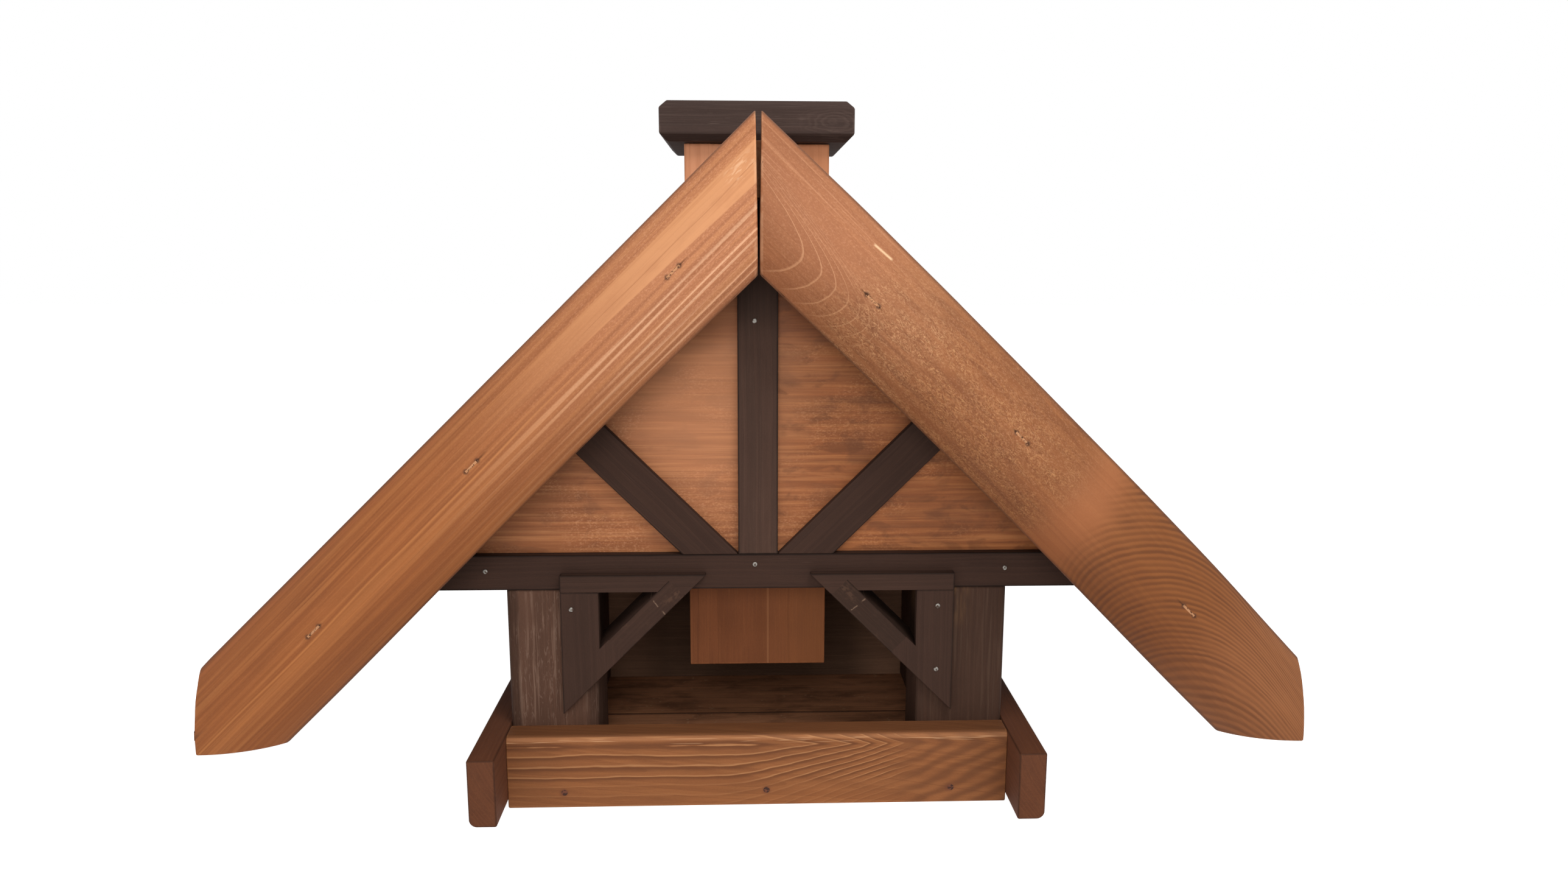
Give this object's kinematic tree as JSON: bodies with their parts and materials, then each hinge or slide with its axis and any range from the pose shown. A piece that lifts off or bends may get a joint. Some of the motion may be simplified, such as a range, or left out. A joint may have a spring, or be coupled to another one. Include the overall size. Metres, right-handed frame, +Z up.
{
  "type": "bird feeder",
  "caption": "Timber-framed bird feeder house with a half-round board roof and a square seed silo that is filled through its chimney under a lift-off cap.",
  "frame": {"origin": "on the ground, midway between the eaves and midway between the front and rear rake boards", "axes": "+X to the right across the gable, +Y from the front gable to the rear one, +Z up"},
  "size_m": [0.664, 0.28, 0.4418],
  "materials": {
    "rake_board_wood": "half-round boards, light brown stain, satin, with a lively grain",
    "roof_board_wood": "half-round boards, light brown stain, satin",
    "gable_wood": "orange-brown stain, level grain",
    "rail_wood": "orange-brown stain, long wavy grain",
    "side_rail_wood": "dark red-brown stain",
    "floor_wood": "dull brown, unplaned",
    "post_wood": "greyish brown stain, upright streaks",
    "brace_wood": "dark brown-grey stain",
    "dark_stained_wood": "dark stain, satin",
    "silo_wood": "orange-brown stain, upright grain",
    "cap_wood": "very dark stain, satin, lightly scratched",
    "nail_steel": "bright flat nail heads, and duller staples let into the rake boards"
  },
  "bodies": {
    "house": {"front_rail": "rail_wood", "rear_rail": "rail_wood", "left_side_rail": "side_rail_wood", "right_side_rail": "side_rail_wood", "front_floor_board": "floor_wood", "rear_floor_board": "floor_wood", "back_board": "dark_stained_wood", "front_left_post": "post_wood", "front_right_post": "post_wood", "rear_left_post": "post_wood", "rear_right_post": "post_wood", "front_tie_beam": "dark_stained_wood", "rear_tie_beam": "dark_stained_wood", "front_gable_board": "gable_wood", "rear_gable_board": "gable_wood", "front_king_post": "dark_stained_wood", "rear_king_post": "dark_stained_wood", "front_left_strut": "dark_stained_wood", "front_right_strut": "dark_stained_wood", "rear_left_strut": "dark_stained_wood", "rear_right_strut": "dark_stained_wood", "left_brace_upright": "brace_wood", "left_brace_top": "brace_wood", "left_brace_diagonal": "brace_wood", "right_brace_upright": "brace_wood", "right_brace_top": "brace_wood", "right_brace_diagonal": "brace_wood", "front_left_rake": "rake_board_wood", "front_right_rake": "rake_board_wood", "rear_left_rake": "rake_board_wood", "rear_right_rake": "rake_board_wood", "front_left_rafter": "dark_stained_wood", "front_right_rafter": "dark_stained_wood", "rear_left_rafter": "dark_stained_wood", "rear_right_rafter": "dark_stained_wood", "left_roof_board_1": "roof_board_wood", "left_roof_board_2": "roof_board_wood", "left_roof_board_3": "roof_board_wood", "left_roof_board_4": "roof_board_wood", "left_roof_board_5": "roof_board_wood", "left_roof_board_6": "roof_board_wood", "right_roof_board_1": "roof_board_wood", "right_roof_board_2": "roof_board_wood", "right_roof_board_3": "roof_board_wood", "right_roof_board_4": "roof_board_wood", "right_roof_board_5": "roof_board_wood", "right_roof_board_6": "roof_board_wood", "front_ridge_pole": "roof_board_wood", "rear_ridge_pole": "roof_board_wood", "front_silo_board": "silo_wood", "rear_silo_board": "silo_wood", "left_silo_board": "silo_wood", "right_silo_board": "silo_wood", "left_silo_bearer": "dark_stained_wood", "right_silo_bearer": "dark_stained_wood", "short_nails": "nail_steel", "long_nails": "nail_steel", "rake_staples": "nail_steel"},
    "lid": {"cap": "cap_wood", "cap_plug": "cap_wood"}
  },
  "joints": [
    {"name": "cap_lift", "type": "slide", "parent": "house", "child": "lid", "axis": [0, 0, 1], "range_m": [0, 0.06]}
  ]
}
